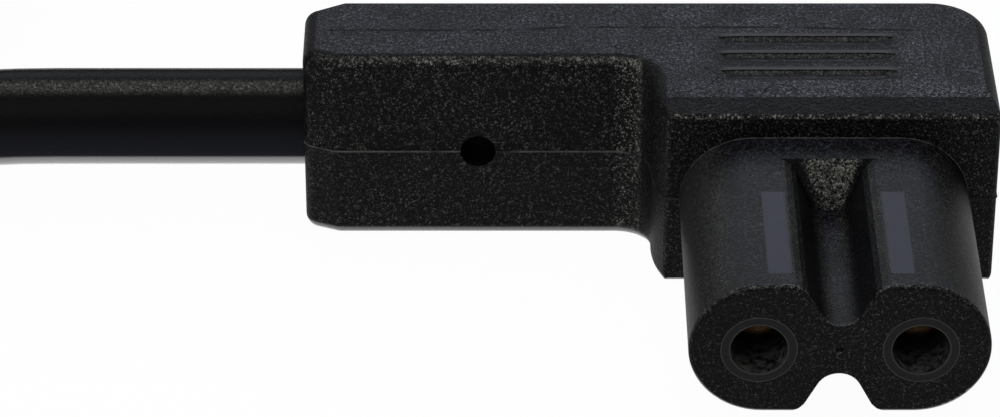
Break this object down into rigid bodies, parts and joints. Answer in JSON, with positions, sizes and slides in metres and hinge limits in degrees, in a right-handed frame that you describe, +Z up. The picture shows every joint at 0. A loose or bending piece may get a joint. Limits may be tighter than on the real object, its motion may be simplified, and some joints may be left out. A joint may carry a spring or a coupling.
{
  "type": "figure eight power connector",
  "caption": "Right-angled figure eight mains connector, moulded on a round lead that is kept as a tied coil and ends in a flat plug with round pins.",
  "frame": {"origin": "on the resting face, under the middle of the nose and 9 mm behind the front face of the head", "axes": "+X along the grip, away from the lead; the nose points to -Y; +Z up from the resting face"},
  "size_m": [0.1331, 0.0826, 0.0177],
  "materials": {
    "grip_pvc": "spark-eroded black PVC, finer on the nose",
    "carrier_plastic": "smooth black plastic",
    "contact_brass": "drawn brass",
    "core_brown": "smooth brown insulation",
    "core_blue": "smooth blue insulation",
    "copper": "bare stranded copper",
    "lead_pvc": "smooth satin black PVC sheath",
    "tie_plastic": "black plastic tie band",
    "plug_pvc": "spark-eroded black PVC",
    "bridge_plastic": "smooth black plastic",
    "pin_nickel": "nickel-plated brass",
    "sleeve_plastic": "smooth black sleeve"
  },
  "bodies": {
    "root": {"connector_overmould": "grip_pvc", "contact_carrier": "carrier_plastic", "socket_contact_left": "contact_brass", "socket_contact_right": "contact_brass", "core_insulation_brown": "core_brown", "core_insulation_blue": "core_blue", "conductor_brown": "copper", "conductor_blue": "copper", "lead_cable": "lead_pvc", "lead_coil": "lead_pvc", "coil_tie": "tie_plastic", "lead_tail": "lead_pvc", "plug_body": "plug_pvc", "plug_bridge": "bridge_plastic", "plug_pin_live": "pin_nickel", "plug_pin_neutral": "pin_nickel", "pin_sleeve_live": "sleeve_plastic", "pin_sleeve_neutral": "sleeve_plastic", "plug_core_brown": "core_brown", "plug_core_blue": "core_blue", "plug_conductor_brown": "copper", "plug_conductor_blue": "copper"}
  },
  "joints": []
}
